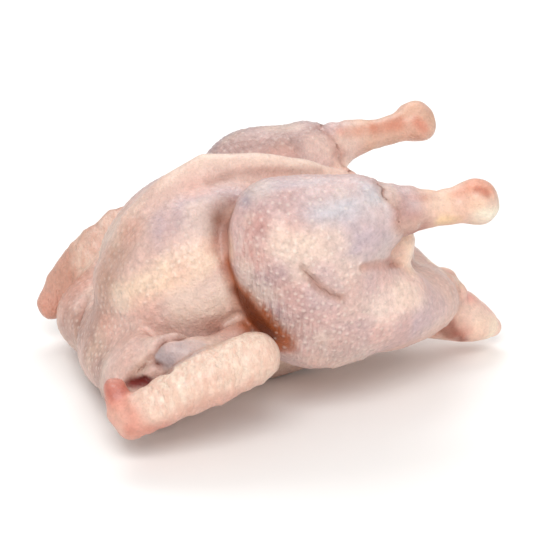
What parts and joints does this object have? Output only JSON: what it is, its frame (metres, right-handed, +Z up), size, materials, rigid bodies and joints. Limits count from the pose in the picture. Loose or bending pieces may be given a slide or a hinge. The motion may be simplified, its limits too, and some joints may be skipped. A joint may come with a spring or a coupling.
{
  "type": "whole chicken",
  "caption": "Whole raw chicken with its skin on, lying on its back, drumsticks towards the rear and folded wings at its sides.",
  "frame": {"origin": "on the ground under the body, on the flat spot where the back rests", "axes": "+X towards the tail, +Z up from the back to the breast, +Y towards the far side of the bird"},
  "size_m": [0.2433, 0.1854, 0.1276],
  "materials": {
    "raw_skin": "moist raw poultry skin, satin with small wet highlights"
  },
  "bodies": {
    "root": {"chicken": "raw_skin"}
  },
  "joints": []
}
